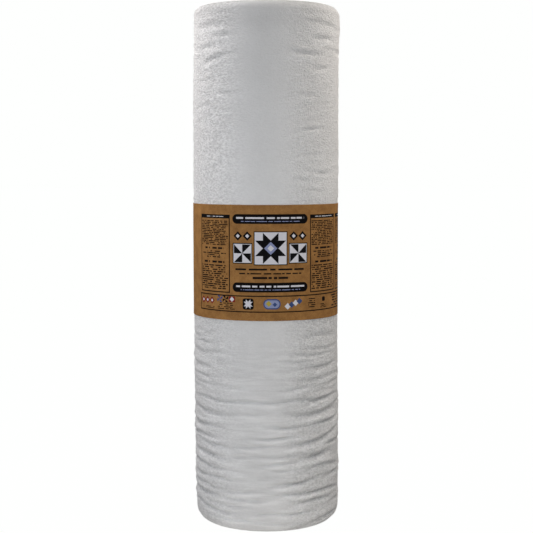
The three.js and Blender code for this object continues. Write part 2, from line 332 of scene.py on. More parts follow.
def creaseSum(bearing, height, section):
    total = np.zeros(np.broadcast(bearing, height).shape)
    wave = creaseWander
    around = np.radians(bearing)
    for number, crease in enumerate(creases):
        along = turnFrom(bearing, crease["at"]) / crease["reach"]
        fade = np.clip(1 - along**2, 0, 1) ** wave["fadePower"]
        deeper = np.sin(around * wave["depthTurns"] + wave["depthPhase"] * number)
        fade = fade * (1 + wave["depthShare"] * deeper)
        wander = wave["rise"] * np.sin(around * wave["turns"] + wave["phase"] * number)
        middle = crease["height"] + crease["tilt"] / 2 * along - crease["arch"] * along**2 + wander
        across = (height - middle) / crease["width"]
        for share, place, spread in section:
            total += share * crease["depth"] * fade * np.exp(-(((across - place) / spread) ** 2))
    return total * (1 - underBand(height))


def unevenness(bearing, height):
    out = lumps(bearing, height)
    for swell in swells:
        along = turnFrom(bearing, swell["at"]) / swell["reach"]
        across = (height - swell["height"]) / swell["width"]
        out += swell["rise"] * np.exp(-2 * along**2 - across**2)
    free = 1 - underBand(height)
    return creaseSum(bearing, height, creaseSection) + out * free - band["squeeze"] * (1 - free)


def sideRadius(bearing, height, turnShare, stepShare=1):
    step = roll["clothStep"] * (1 - (1 - band["stepShare"]) * underBand(height)) * stepShare
    return alongRoll(roll["radius"], height) + step * (turnShare - 0.5) + unevenness(bearing, height)


def placeAt(bearing, radius, height):
    angle = np.radians(bearing)
    shift = alongRoll(roll["bow"], height)
    across = shift + radius * np.sin(angle)
    return np.stack(np.broadcast_arrays(across, -radius * np.cos(angle), height), axis=-1)


# Cotton batting: bleached fibres matted by needling, so it is matt, softly furred and a little
# uneven in thickness. Nothing on it shines. Its places are in metres, as a shader takes them.
batting = {
    "pale": "#eceded",
    "deep": "#d6d7d7",
    "rampStops": (0.32, 0.68),
    # size, stretch along each axis, detail, roughness and distortion; the last three lie mostly
    # round the roll. Real fibres are 0.02 mm thick, and are drawn coarser so that they show.
    "noises": {
        "mottle": (60, (1, 1, 1), 3, 0.55, 0),
        "clump": (4.4, (0.7, 0.7, 1.2), 2.5, 0.6, 0.4),
        "fibre": (0.9, (0.45, 0.45, 1.5), 3, 0.7, 1.2),
        "wrinkle": (7, (0.12, 0.12, 1), 2, 0.5, 0.5),
    },
    "mostNoise": (0.35, 0.65),  # nearly all of a noise lies between these
    "mottleSpan": (0.38, 0.62),
    "clumpShare": 0.75,
    "needleMark": 2.8,  # real needling is about 2 mm apart; drawn coarser so that it shows
    "markSpread": 0.9,
    "seedFleck": "#b9a98c",
    "fleckSpacing": 31,
    "fleckEdge": (0.014, 0.022),  # from a fleck's middle, in spacings
    "fleckCover": 0.5,
    "relief": {"clump": 0.85, "mark": 0.36, "fibre": 0.2},
    "smoothMiddle": -0.017,  # the strip of the front that is pressed smooth
    "smoothReach": (0.03, 0.11),  # from its middle: all smooth, and no longer
    "smoothShare": 0.25,
    "smoothBack": (-0.05, 0.02),  # towards the back: the same
    # where each side's painted shade between the tufts begins and is full, and how strong it is below and
    # above the band
    "tuftShadeSides": {"left": ((-0.04, -0.1), (0.35, 1)), "right": ((0.03, 0.09), (0.7, 0.1))},
    "tuftShadeHeights": (0.46, 0.72),
    # how much paler the clumps are, as painted highlight on the tufts with painted shade between them, and
    # the wrinkles where the cloth is wrinkled
    "noiseTones": {"clump": 0.13, "wrinkle": 0.06},
    "wrinkleHeights": (0.46, 0.36),
    "toneSpan": (-6, 10),
    # painted shade: how much darker the painted shading makes the cloth for each millimetre of crease, or
    # each unit of tone
    "paintedShadePerMm": 0.03,  # how much darker a crease is for each millimetre of its depth
}


def makeBatting():
    material, tree = newTree("needledCottonBatting")
    place = addNode(tree, "TexCoord").outputs["Object"]
    axes = addNode(tree, "SeparateXYZ", (place,)).outputs
    web = {}
    for name, (size, stretch, detail, roughness, distortion) in batting["noises"].items():
        stretched = addNode(tree, "Mapping", {"Vector": place, "Scale": stretch})
        web[name] = addNode(tree, "TexNoise", {
            "Vector": stretched, "Scale": patternScale(size), "Detail": detail, "Roughness": roughness,
            "Distortion": distortion})
    web["mark"] = addNode(tree, "TexVoronoi", {
        "Vector": place, "Scale": patternScale(batting["needleMark"]), "Randomness": batting["markSpread"]})
    fleck = addNode(tree, "TexVoronoi", {
        "Vector": place, "Scale": patternScale(batting["fleckSpacing"])})

    # the strip of the front that is pressed smooth, by its place across the roll
    across = addNode(tree, "Math", (axes["X"], batting["smoothMiddle"]), operation="SUBTRACT")
    away = addNode(tree, "Math", (across,), operation="ABSOLUTE")
    beside = addNode(tree, "MapRange", (
        away, *batting["smoothReach"], batting["smoothShare"]), interpolation_type="SMOOTHSTEP")
    behind = addNode(tree, "MapRange", (axes["Y"], *batting["smoothBack"]))
    worked = addNode(tree, "Math", (beside, behind), operation="MAXIMUM")

    # the web's colour: faint patches, a pebbled grain where it isn't smooth, and seed flecks
    grain = addNode(tree, "Math", (worked, batting["clumpShare"]), operation="MULTIPLY")
    faint = addNode(tree, "MapRange", (web["mottle"], 0, 1, *batting["mottleSpan"]))
    blend = addNode(tree, "Mix", {0: grain, 2: faint, 3: web["clump"]}, data_type="FLOAT")
    ramp = addNode(tree, "ValToRGB", (blend,))
    for stop, position, colour in zip(ramp.color_ramp.elements, batting["rampStops"], ("deep", "pale")):
        stop.position, stop.color = position, paint(batting[colour])
    fleckMask = addNode(tree, "MapRange", (
        fleck, *batting["fleckEdge"], batting["fleckCover"], 0))
    colour = addNode(tree, "Mix", {
        0: fleckMask, 6: ramp, 7: paint(batting["seedFleck"])}, data_type="RGBA").outputs[2]

    # painted light and shade: the painted shading kept on the points darkens the creases and the top rim,
    # and lightens patches and the cloth just above the band; then, at both sides and most of all on the left
    # above the band, painted shade between the tufts and painted highlight on them, and fine wrinkles round
    # the roll below the band
    crease = addNode(tree, "Attribute", attribute_name="paintedShading").outputs["Fac"]
    span = batting["toneSpan"]
    brightness = addNode(tree, "MapRange", (
        crease, *span, *(1 - end * batting["paintedShadePerMm"] for end in span)))
    # painted shade between the tufts and painted highlight on them, on both sides
    tuftShade = 0.0
    for reach, strengths in batting["tuftShadeSides"].values():
        onSide = addNode(tree, "MapRange", (axes["X"], *reach))
        strength = addNode(tree, "MapRange", (axes["Z"], *batting["tuftShadeHeights"], *strengths))
        tuftShade = addNode(tree, "Math", (onSide, strength, tuftShade), operation="MULTIPLY_ADD")
    isLow = addNode(tree, "MapRange", (axes["Z"], *batting["wrinkleHeights"]))
    for name, where in (("clump", tuftShade), ("wrinkle", isLow)):
        tone = batting["noiseTones"][name]
        paler = addNode(tree, "MapRange", (web[name], *batting["mostNoise"], -tone, tone))
        brightness = addNode(tree, "Math", (where, paler, brightness), operation="MULTIPLY_ADD")
    shaded = addNode(tree, "VectorMath", {0: colour, "Scale": brightness}, operation="SCALE")

    relief = None
    for name, depth in batting["relief"].items():
        inputs = {"Height": web[name], "Distance": depth * metresPerMm * reliefGain, "Strength": worked}
        if relief:
            inputs["Normal"] = relief
        relief = addNode(tree, "Bump", inputs)
    shader = addNode(tree, "BsdfPrincipled", {
        "Base Color": shaded,
        "Normal": relief,
        "Roughness": 0.95,
        "Diffuse Roughness": 0.6,
        "Specular IOR Level": 0.2,
        "Sheen Weight": 0.25,
        "Sheen Roughness": 0.6,
    })
    addNode(tree, "OutputMaterial", {"Surface": shader})
    return material


# The wound ends. The doubled cloth's fold is at the top, so each turn there is a round bead, and
# its cut edges are at the bottom, pressed flat by the roll's weight. A turn drawn here stands for
# three real ones, which are 2.2 mm thick. A depth goes with a share of a turn.
ends = {
    "top": {"turns": 24, "startAngle": 40, "depths": ((0, 3.4), (0.22, 0.8), (0.5, 0), (0.78, 0.8))},
    "bottom": {"turns": 22, "startAngle": 60, "depths": ((0, 3), (0.12, 0), (0.5, 0.9), (0.88, 0))},
    "eyeRadius": 7,
    "eyeDip": 5,
    "unevenTurns": 1.1,  # how far a turn stands out or in at the top
    "unevenFrom": (0.5, 2.5),  # the outermost turns stay level
    "turnWaves": (2.1, 1.7),  # from turn to turn, and round a turn
}

# The section of the cloth's outer edge: millimetres past the edge, and the share of the step
# that is left there. The two layers' cut edges are rounded, one a little behind the other.
edgeSection = (
    (-2.2, 0.98), (-0.7, 0.9), (0.1, 0.74), (0.1, 0.6), (0.9, 0.52), (3.2, 0.49),
    (4.7, 0.41), (5.3, 0.25), (5.2, 0.08), (6.4, 0.0),
)
edgeStart, edgeEnd = -5, 9  # the room that a row's even columns leave for it
edgeLefts = np.array([left for past, left in edgeSection])


def edgeWander(height):
    return sum(stray * np.sin(height / over + start) for stray, over, start in roll["edgeWaves"])


def rowBearings(height, openShare):
    # bearings of a row's columns and then of the cloth's outer edge, which closes the row, and
    # the share of a turn at each
    columns = roll["columns"]
    radius = roll["radius"][1]
    edge = roll["edgeBearing"] + openShare * edgeWander(height)
    start = edge + openShare * math.degrees(edgeEnd / radius)
    sweep = 360 - openShare * math.degrees((edgeEnd - edgeStart) / radius)
    shares = np.arange(columns + 1) / columns
    section = np.array([edge + 360 + openShare * math.degrees(past / radius) for past, left in edgeSection])
    return np.concatenate([start + sweep * shares, section]), np.concatenate([shares, edgeLefts])


def endMeasures(isTop):
    # an end's outline runs over the rounding and then straight in to the middle
    end = ends["top" if isTop else "bottom"]
    rounding = roll["topRounding" if isTop else "bottomRounding"]
    radius = alongRoll(roll["radius"], roll["length"] - rounding if isTop else rounding)
    start = rounding * math.radians(end["startAngle"])
    full = rounding * math.pi / 2 + radius - rounding
    return {**end, "rounding": rounding, "radius": radius, "start": start,
            "pitch": (full - ends["eyeRadius"] - start) / end["turns"]}


def outlinePlace(isTop, bearing, run, turnShare, stepShare, depth):
    end = endMeasures(isTop)
    rounding = end["rounding"]
    angle = np.minimum(run / rounding, math.pi / 2)
    inset = rounding * (1 - np.cos(angle)) + np.maximum(0, run - rounding * math.pi / 2)
    lift = rounding * (1 - np.sin(angle))
    height = roll["length"] - lift if isTop else lift
    uneven = sideRadius(bearing, height, turnShare, stepShare) - alongRoll(roll["radius"], height)
    inner = end["radius"] - inset
    radius = inner + uneven * inner / end["radius"] * np.cos(angle) - depth * np.cos(angle)
    sunk = depth * np.sin(angle)
    return placeAt(bearing, radius, height - sunk if isTop else height + sunk)


# the painted light and shade at each point, paler where it is below zero: painted shade in the creases with
# painted highlight on their swells, painted shade at the top rim and higher up the side, and painted light
# just above the band and in patches
def paintedShadingAt(bearings, heights, fromAxis):
    tones = creaseSum(bearings, heights, paintedShading)
    # painted shade on the rim of the top
    atRim = smooth(topRimPaintedShade["from"], topRimPaintedShade["to"], heights)
    tones += topRimPaintedShade["tone"] * atRim * smooth(topRimPaintedShade["inner"], topRimPaintedShade["outer"], fromAxis)
    # painted shade higher up the side, and painted light just above the band
    tones += np.interp(heights, upperPaintedLightAndShade["heights"], upperPaintedLightAndShade["tones"], left=0)
    # patches of painted light
    for patch in paintedLightPatches:
        along = turnFrom(bearings, patch["at"]) / patch["reach"]
        tones += patch["tone"] * np.exp(-along**2 - ((heights - patch["height"]) / patch["tall"]) ** 2)
    return tones


def makeRoll(material):
    columns = roll["columns"]
    points, rings, faces = [], [], []

    def addPoints(places):
        first = len(points)
        points.extend(places.tolist())
        return list(range(first, first + len(places)))

    def addFace(*corners):
        kept = [corner for n, corner in enumerate(corners) if corner != corners[n - 1]]
        if len(kept) > 2:
            faces.append(kept)

    # the side and the roundings, from the bottom up: each row runs once round and over the edge
    def spaced(start, end, spacing):
        count = round((end - start) / spacing)
        return [start + (end - start) * n / count for n in range(count)]

    sideTop = roll["length"] - roll["topRounding"]
    lower, upper = band["bottom"] - band["shoulder"], band["top"] + band["shoulder"]
    sideHeights = [
        *spaced(roll["bottomRounding"], lower, roll["lowerSpacing"]),
        *spaced(lower, band["bottom"], roll["lowerSpacing"]),
        *spaced(band["bottom"], band["top"], roll["hiddenSpacing"]),
        *spaced(band["top"], upper, roll["lowerSpacing"]),
        *spaced(upper, sideTop, roll["upperSpacing"]),
        sideTop,
    ]

    def roundingRows(isTop):
        start = endMeasures(isTop)["start"]
        count = round(start / roll["roundingSpacing"])
        for n in range(count):
            run = start * (n + 1) / count
            openShare = float(1 - smooth(0, start, run))
            bearings, turnShares = rowBearings(roll["length"] if isTop else 0, openShare)
            yield outlinePlace(isTop, bearings, run, turnShares, openShare, 0), openShare

    def sideRow(height):
        bearings, turnShares = rowBearings(height, 1)
        return placeAt(bearings, sideRadius(bearings, height, turnShares), height), 1

    outline = [*reversed(list(roundingRows(False))), *map(sideRow, sideHeights), *roundingRows(True)]
    for places, openShare in outline:
        if openShare > 0:
            rings.append(addPoints(places))
        else:
            ring = addPoints(places[:columns])
            rings.append(ring + [ring[0]] * (len(places) - columns))
    for low, high in zip(rings, rings[1:]):
        for n in range(len(low)):
            after = (n + 1) % len(low)
            addFace(low[n], low[after], high[after], high[n])

    # the wound ends: a row of column 0 is the row one turn further in of the last column
    for isTop, firstRing in ((False, rings[0]), (True, rings[-1])):
        end = endMeasures(isTop)
        rowsPerTurn = len(end["depths"])
        rowCount = rowsPerTurn * end["turns"]
        shares = np.arange(columns) / columns
        bearings = roll["edgeBearing"] + 360 * shares
        rows = [firstRing[:columns]]
        for row in range(1, rowCount + 1):
            within, depth = end["depths"][row % rowsPerTurn]
            turn = row // rowsPerTurn + within - shares
            if row < rowsPerTurn:
                turn = (row // rowsPerTurn + within) * (1 - shares)
            sunk = depth * smooth(0, 1, turn)
            if isTop:
                perTurn, around = ends["turnWaves"]
                wave = np.sin(perTurn * np.floor(turn + shares) + around * np.sin(np.radians(bearings)))
                sunk = sunk + ends["unevenTurns"] * (1 - wave) / 2 * smooth(*ends["unevenFrom"], turn)
            run = end["start"] + end["pitch"] * turn
            rows.append(addPoints(outlinePlace(isTop, bearings, run, 0.5, 0, sunk)))

        def vertex(column, row):
            return rows[row][column] if column < columns else rows[max(0, row - rowsPerTurn)][0]

        for row in range(rowCount):
            low, high = (row, row + 1) if isTop else (row + 1, row)
            for n in range(columns):
                addFace(vertex(n, low), vertex(n + 1, low), vertex(n + 1, high), vertex(n, high))
        eyeHeight = roll["length"] - ends["eyeDip"] if isTop else ends["eyeDip"]
        (eye,) = addPoints(placeAt(0, 0, np.array([eyeHeight])))
        rim = rows[rowCount] + [rows[row][0] for row in range(rowCount - rowsPerTurn, rowCount)]
        for here, after in zip(rim, rim[1:] + rim[:1]):
            faces.append([here, after, eye] if isTop else [eye, after, here])

    placed = np.array(points)
    piece = addPiece("battingRoll", placed * metresPerMm, faces, material)
    heights = placed[:, 2]
    across = placed[:, 0] - alongRoll(roll["bow"], heights)
    bearings = np.degrees(np.arctan2(across, -placed[:, 1]))
    # each point keeps its painted light and shade, which the cloth's shader reads
    attribute = piece.data.attributes.new("paintedShading", "FLOAT", "POINT")
    attribute.data.foreach_set("value", paintedShadingAt(bearings, heights, np.hypot(across, placed[:, 1])))
    return piece


battingRoll = makeRoll(makeBatting())
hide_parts("batting_roll")
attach(battingRoll, "root")
print("roll made:", len(battingRoll.data.polygons), "faces")

# The paper band: one strip of brown kraft paper, 0.5 mm here so that its edge shows
paper = {
    "thickness": 0.5,
    "clearance": 0.3,
    "startBearing": 203,
    "lap": 18,  # degrees, about 51 mm, glued
    "climb": (6, 0.5),  # degrees before its own start, over which it rises onto it
    "bridge": (11, 10.2),  # degrees past the cloth's edge that it spans, and how steeply it falls there
    "step": 1.5,
    "rowSpacing": 8,
    "edgeLift": 0.5,
    "edgeReach": 16,
    "liftWaves": (5, 130),  # round the roll, and how they slant up it
    "buckle": 0.22,
    "buckleWaves": (17, 1.3, 47),  # round the roll, and how far and over what height they sway
}


def bandInner(bearing, height, lapped):
    # the paper lies on the cloth, runs straight past the cloth's outer edge, and climbs its own end
    turn = (bearing - roll["edgeBearing"]) % 360
    radius = alongRoll(roll["radius"], height) - band["squeeze"]
    step = roll["clothStep"] * band["stepShare"]
    spiral = radius + step * (turn / 360 - 0.5)
    span, slope = paper["bridge"]
    angle = np.radians(turn)
    straight = (radius + step / 2) * (1 / np.cos(angle) - math.tan(math.radians(slope)) * np.sin(angle))
    lying = np.where(turn < span, np.maximum(spiral, straight), spiral)
    climb = lapped * (paper["thickness"] + paper["clearance"])
    toEdge = np.minimum(height - band["bottom"], band["top"] - height)
    waves, slant = paper["liftWaves"]
    lift = paper["edgeLift"] * (1 - smooth(0, paper["edgeReach"], toEdge))
    lift = lift * (0.5 + 0.5 * np.sin(np.radians(bearing) * waves + height / slant))
    waves, sway, over = paper["buckleWaves"]
    buckle = paper["buckle"] * np.sin(np.radians(bearing) * waves + sway * np.sin(height / over)) ** 2
    return lying + paper["clearance"] + climb + lift + buckle


def makeBand(material):
    count = round((360 + paper["lap"]) / paper["step"])
    sweeps = (360 + paper["lap"]) * np.arange(count + 1) / count
    rowCount = round((band["top"] - band["bottom"]) / paper["rowSpacing"])
    heights = band["bottom"] + (band["top"] - band["bottom"]) * np.arange(rowCount + 1) / rowCount
    bearings = paper["startBearing"] - 360 + sweeps[:, None]
    climbStart, climbEnd = (360 - before for before in paper["climb"])
    inner = bandInner(bearings, heights[None, :], smooth(climbStart, climbEnd, sweeps)[:, None])
    outer = inner + paper["thickness"]
    sides = [placeAt(bearings, radius, heights[None, :]).reshape(-1, 3) for radius in (outer, inner)]
    faces = []

    def addFace(*corners):
        # a corner is its side, 0 outside and 1 inside, its column and its row
        faces.append([(side * (count + 1) + n) * (rowCount + 1) + row for side, n, row in corners])

    for n in range(count):
        for row in range(rowCount):
            addFace((0, n, row), (0, n + 1, row), (0, n + 1, row + 1), (0, n, row + 1))
            addFace((1, n, row), (1, n, row + 1), (1, n + 1, row + 1), (1, n + 1, row))
        addFace((1, n, 0), (1, n + 1, 0), (0, n + 1, 0), (0, n, 0))
        addFace((0, n, rowCount), (0, n + 1, rowCount), (1, n + 1, rowCount), (1, n, rowCount))
    for row in range(rowCount):
        addFace((0, 0, row), (0, 0, row + 1), (1, 0, row + 1), (1, 0, row))
        addFace((0, count, row + 1), (0, count, row), (1, count, row), (1, count, row + 1))
    piece = addPiece("labelBand", np.concatenate(sides) * metresPerMm, faces, material)

    # where each point lies on the flat strip: along it from the front, up it, and 1 on the
    # printed side
    flat = np.zeros((2, count + 1, rowCount + 1, 3))
    flat[..., 0] = np.radians(bearings) * roll["radius"][1] * metresPerMm
    flat[..., 1] = heights[None, None, :] * metresPerMm
    flat[0, ..., 2] = 1
    attribute = piece.data.attributes.new("printPlace", "FLOAT_VECTOR", "POINT")
    attribute.data.foreach_set("vector", flat.reshape(-1))
    return piece


# Kraft paper: unbleached, uncoated and matt, with long fibres and darker specks. Flexographic
# black and spot colours sit in it, not on it, and leave its surface as it is.
kraft = {
    "pale": "#aa7d49",
    "deep": "#7e5a33",
    "rampStops": (0.35, 0.65),
    "speck": "#5f452b",
    "stretch": (0.25, 1, 1),  # fibres lie mostly along the strip
    "fibre": 0.9,  # real fibres are 0.03 mm thick; drawn coarser so that they show
    "cloud": 16,
    "speckLength": 1.6,
    "speckEdge": (0.68, 0.74),
    "speckCover": 0.5,
    "fibreRelief": 0.05,
    "inkSpan": (0.3, 0.5),
    "inkTake": (0.975, 1),  # how much of an ink a fibre takes
}
inks = {
    "black": "#060507",
    "white": "#d6d6dc",
    "red": "#7a1f1c",
    "blue": "#3d4f7c",
    "paleBlue": "#8b94b8",
    "yellow": "#b3a24a",
}
# Where the printing lies on the strip: millimetres along it from the front, and heights
layout = {
    "bleed": 0.5,  # how far an ink's edge is soft
    "tiny": 0.001,
    "rule": 2.4,
    "columns": (-122.5, 146, 242),
    "columnSize": (88, 167),
    "columnTop": 690.5,
    "headingHeight": 8,
    "headingRounding": 2,
    "panelMiddle": 11.5,
    "bars": (536.5, 682),
    "barSize": (167, 20.5),
    "barSeeds": (12, 3),  # apart, and the lower bar's
    "blockRow": 620,
    "strip": ((58, 501), (457, 36)),
}
# Small print is dashes: how wide a gap falls between them, and how unlike two lines are
dashes = {"length": 1.4, "gap": 0.4, "unlike": 7.31}
# In a column: ink, how far under its top, width, height, line spacing, how much of the spacing is
# inked, how ragged, and 1 where it is set in the middle
columnPrint = (
    ("white", 4, 74, 3, 3, 0.5, 0.15, 1),
    ("black", 39, 80, 54, 3.6, 0.6, 0.08, 0),
    ("black", 72, 80, 5, 5, 0.8, 0.2, 1),
    ("black", 85, 80, 16, 4, 0.6, 0.3, 1),
    ("black", 101.5, 80, 5, 5, 0.85, 0.16, 1),
    ("black", 134, 80, 54, 4.5, 0.58, 0.1, 0),
)
# In a bar: ink, height over its middle, width, height, how much is inked, how ragged
barPrint = (("white", 2.2, 155, 5.4, 0.7, 0.02), ("paleBlue", -5, 141, 3, 0.5, 0.05))
# Under the patchwork: height, width, line spacing, how much is inked, how ragged
panelPrint = ((575, 156, 6.4, 0.6, 0.02), (566, 140, 5, 0.55, 0.02), (557, 80, 6.4, 0.7, 0.02))
# In the lower strip: place along and up, width, height, line spacing, how much is inked, how
# ragged, seed
stripPrint = (
    (-135, -11, 34, 6, 3, 0.5, 0.1, 31),
    (-89, -6, 46, 16, 4, 0.5, 0.15, 41),
    (107, 0, 24, 22, 4.4, 0.5, 0.25, 53),
    (143, -8, 26, 10, 3.3, 0.5, 0.25, 59),
    (205, 0, 60, 28, 5.6, 0.55, 0.1, 61),
)
# Boxes and quilter's blocks: shape, ink, place along and up from the row's middle, size across, and
# a box's rounding. First the star in the middle of the panel, then the blocks that stand both to
# its left and to its right, and then the lower strip's small patches.
starShapes = (
    ("Box", "black", 0, 0, (72, 72)),
    ("Box", "white", 0, 0, (68, 68)),
    ("Star", "black", 0, 0, 66),
    ("Diamond", "paleBlue", 0, 0, 28),
    ("Diamond", "white", 0, 0, 14),
)
besideShapes = (
    ("Box", "black", 61, -11, (44, 44)),
    ("Box", "white", 61, -11, (40, 40)),
    ("Pinwheel", "black", 61, -11, 38),
    *(("Diamond", ink, at, 26, size) for at in (50, 71) for ink, size in (("black", 20), ("white", 9))),
)
stripShapes = (
    *(("Diamond", ink, at, 4, size)
      for at in (-158, -143, -128) for ink, size in (("red", 16), ("white", 7))),
    ("Pinwheel", "blue", -105, 9, 14),
    ("Pinwheel", "black", -90, 9, 14),
    ("Box", "red", -74, 9, (15, 12)),
    ("Diamond", "white", -74, 9, 11),
    ("Box", "black", -37, 0, (24, 24), 5),
    ("Star", "white", -37, 0, 20),
    ("Box", "blue", 14, 0, (37, 22), 11),
    ("Box", "paleBlue", 14, 0, (32, 17), 8.5),
    ("Diamond", "yellow", 7, 1, 13),
    ("Diamond", "blue", 20, -1, 10),
    *(("Diamond", ("white", "blue")[n % 2], 48 + 9 * n, -5 + 3.4 * n, 14) for n in range(4)),
    ("Box", "black", 143, 6, (10, 10), 3),
)


def newGroup(name, inputs, outputs):
    # a node group with plain float and vector sockets; gives the group and its two end nodes
    group = bpy.data.node_groups.new(name, "ShaderNodeTree")
    for socket in inputs:
        kind = "NodeSocketVector" if socket in ("Place", "Centre", "Size") else "NodeSocketFloat"
        group.interface.new_socket(name=socket, in_out="INPUT", socket_type=kind)
    for socket in outputs:
        group.interface.new_socket(name=socket, in_out="OUTPUT", socket_type="NodeSocketFloat")
    return group, group.nodes.new("NodeGroupInput").outputs, group.nodes.new("NodeGroupOutput").inputs


def makeBoxGroup():
    # 1 inside a box with round corners, 0 outside
    group, given, result = newGroup("printedBox", ("Place", "Centre", "Size", "Rounding"), ("Mask",))
    rounding, bleed = given["Rounding"], layout["bleed"]
    local = addNode(group, "VectorMath", (given["Place"], given["Centre"]), operation="SUBTRACT")
    fromCentre = addNode(group, "VectorMath", (local,), operation="ABSOLUTE")
    halfSize = addNode(group, "VectorMath", (given["Size"], (0.5, 0.5, 0)), operation="MULTIPLY")
    corner = addNode(group, "CombineXYZ", (rounding, rounding))
    straight = addNode(group, "VectorMath", (halfSize, corner), operation="SUBTRACT")
    beyond = addNode(group, "VectorMath", (fromCentre, straight), operation="SUBTRACT")
    past = addNode(group, "VectorMath", (beyond, (0, 0, 0)), operation="MAXIMUM")
    distance = addNode(group, "VectorMath", (past,), operation="LENGTH").outputs["Value"]
    outside = addNode(group, "Math", (distance, rounding), operation="SUBTRACT")
    soft = addNode(group, "MapRange", (outside, bleed / 2, layout["tiny"] - bleed / 2, 0, 1))
    within = addNode(group, "Math", (distance, layout["tiny"]), operation="LESS_THAN")
    mask = addNode(group, "Math", (soft, within), operation="MAXIMUM")
    group.links.new(mask.outputs[0], result["Mask"])
    return group


def makeTextGroup():
    # lines of dashes in the place of small print: the grey of set type, with no letters in it
    sockets = ("Place", "Centre", "Size", "Spacing", "Seed", "Ragged", "Middle", "Inked")
    group, given, result = newGroup("printedLines", sockets, ("Mask",))
    local = addNode(group, "VectorMath", (given["Place"], given["Centre"]), operation="SUBTRACT")
    at = addNode(group, "SeparateXYZ", (local,)).outputs
    size = addNode(group, "SeparateXYZ", (given["Size"],)).outputs

    # which line, and whether the place is on its inked part
    fromFoot = addNode(group, "Math", (size["Y"], 0.5, at["Y"]), operation="MULTIPLY_ADD")
    lines = addNode(group, "Math", (fromFoot, given["Spacing"]), operation="DIVIDE")
    number = addNode(group, "Math", (lines,), operation="FLOOR")
    part = addNode(group, "Math", (lines,), operation="FRACT")
    fromMiddle = addNode(group, "Math", (part, 0.5), operation="SUBTRACT")
    offMiddle = addNode(group, "Math", (fromMiddle,), operation="ABSOLUTE")
    halfInked = addNode(group, "Math", (given["Inked"], 0.5), operation="MULTIPLY")
    mask = addNode(group, "Math", (offMiddle, halfInked), operation="LESS_THAN")
    lineSeed = addNode(group, "Math", (number, dashes["unlike"], given["Seed"]), operation="MULTIPLY_ADD")

    # dashes of uneven length along it
    dash = addNode(group, "Math", (given["Spacing"], dashes["length"]), operation="MULTIPLY")
    along = addNode(group, "Math", (at["X"], dash), operation="DIVIDE")
    dashPlace = addNode(group, "CombineXYZ", (along, lineSeed))
    dashNoise = addNode(group, "TexNoise", {
        "Vector": dashPlace, "Scale": 1.0, "Detail": 0.0}, noise_dimensions="2D")
    inDash = addNode(group, "Math", (dashNoise, dashes["gap"]), operation="GREATER_THAN")

    # how long the line is, from its left end or from its middle
    lineNoise = addNode(group, "TexWhiteNoise", {"W": lineSeed}, noise_dimensions="1D")
    cut = addNode(group, "Math", (lineNoise, given["Ragged"]), operation="MULTIPLY")
    short = addNode(group, "Math", (cut, size["X"]), operation="MULTIPLY")
    halfWidth = addNode(group, "Math", (size["X"], 0.5), operation="MULTIPLY")
    halfHeight = addNode(group, "Math", (size["Y"], 0.5), operation="MULTIPLY")
    halfLength = addNode(group, "Math", (halfWidth, short), operation="SUBTRACT")
    toSide = addNode(group, "Math", (at["X"],), operation="ABSOLUTE")
    toTop = addNode(group, "Math", (at["Y"],), operation="ABSOLUTE")
    reach = addNode(group, "Mix", {0: given["Middle"], 2: at["X"], 3: toSide}, data_type="FLOAT")
    for value, limit in ((reach, halfLength), (toSide, halfWidth), (toTop, halfHeight)):
        within = addNode(group, "Math", (value, limit), operation="LESS_THAN")
        mask = addNode(group, "Math", (mask, within), operation="MULTIPLY")
    # the noise comes last, so that the shader holds few values at once
    mask = addNode(group, "Math", (mask, inDash), operation="MULTIPLY")
    group.links.new(mask.outputs[0], result["Mask"])
    return group


def makeBlockGroup():
    # the quilter's blocks: an eight-pointed sawtooth star, a pinwheel and a square on its point
    blocks = ("Star", "Pinwheel", "Diamond")
    group, given, result = newGroup("quiltBlocks", ("Place", "Centre", "Across"), blocks)
    local = addNode(group, "VectorMath", (given["Place"], given["Centre"]), operation="SUBTRACT")
    perHalf = addNode(group, "Math", (2.0, given["Across"]), operation="DIVIDE")
    scaled = addNode(group, "VectorMath", {0: local, "Scale": perHalf}, operation="SCALE")
    at = addNode(group, "SeparateXYZ", (scaled,)).outputs
    fromX = addNode(group, "Math", (at["X"],), operation="ABSOLUTE")
    fromY = addNode(group, "Math", (at["Y"],), operation="ABSOLUTE")
    larger = addNode(group, "Math", (fromX, fromY), operation="MAXIMUM")
    smaller = addNode(group, "Math", (fromX, fromY), operation="MINIMUM")
    inBlock = addNode(group, "Math", (larger, 1.0), operation="LESS_THAN")

    slant = addNode(group, "Math", (larger, 0.5), operation="SUBTRACT")
    inPoint = addNode(group, "Math", (smaller, slant), operation="GREATER_THAN")
    inArm = addNode(group, "Math", (smaller, 0.5), operation="LESS_THAN")
    inArms = addNode(group, "Math", (inArm, inBlock), operation="MULTIPLY")
    star = addNode(group, "Math", (inPoint, inArms), operation="MULTIPLY")

    product = addNode(group, "Math", (at["X"], at["Y"]), operation="MULTIPLY")
    lead = addNode(group, "Math", (fromX, fromY), operation="SUBTRACT")
    quarter = addNode(group, "Math", (product, lead), operation="MULTIPLY")
    inVane = addNode(group, "Math", (quarter, 0.0), operation="GREATER_THAN")
    pinwheel = addNode(group, "Math", (inVane, inBlock), operation="MULTIPLY")

    total = addNode(group, "Math", (larger, smaller), operation="ADD")
    diamond = addNode(group, "Math", (total, 1.0), operation="LESS_THAN")
    for name, mask in zip(blocks, (star, pinwheel, diamond)):
        group.links.new(mask.outputs[0], result[name])
    return group


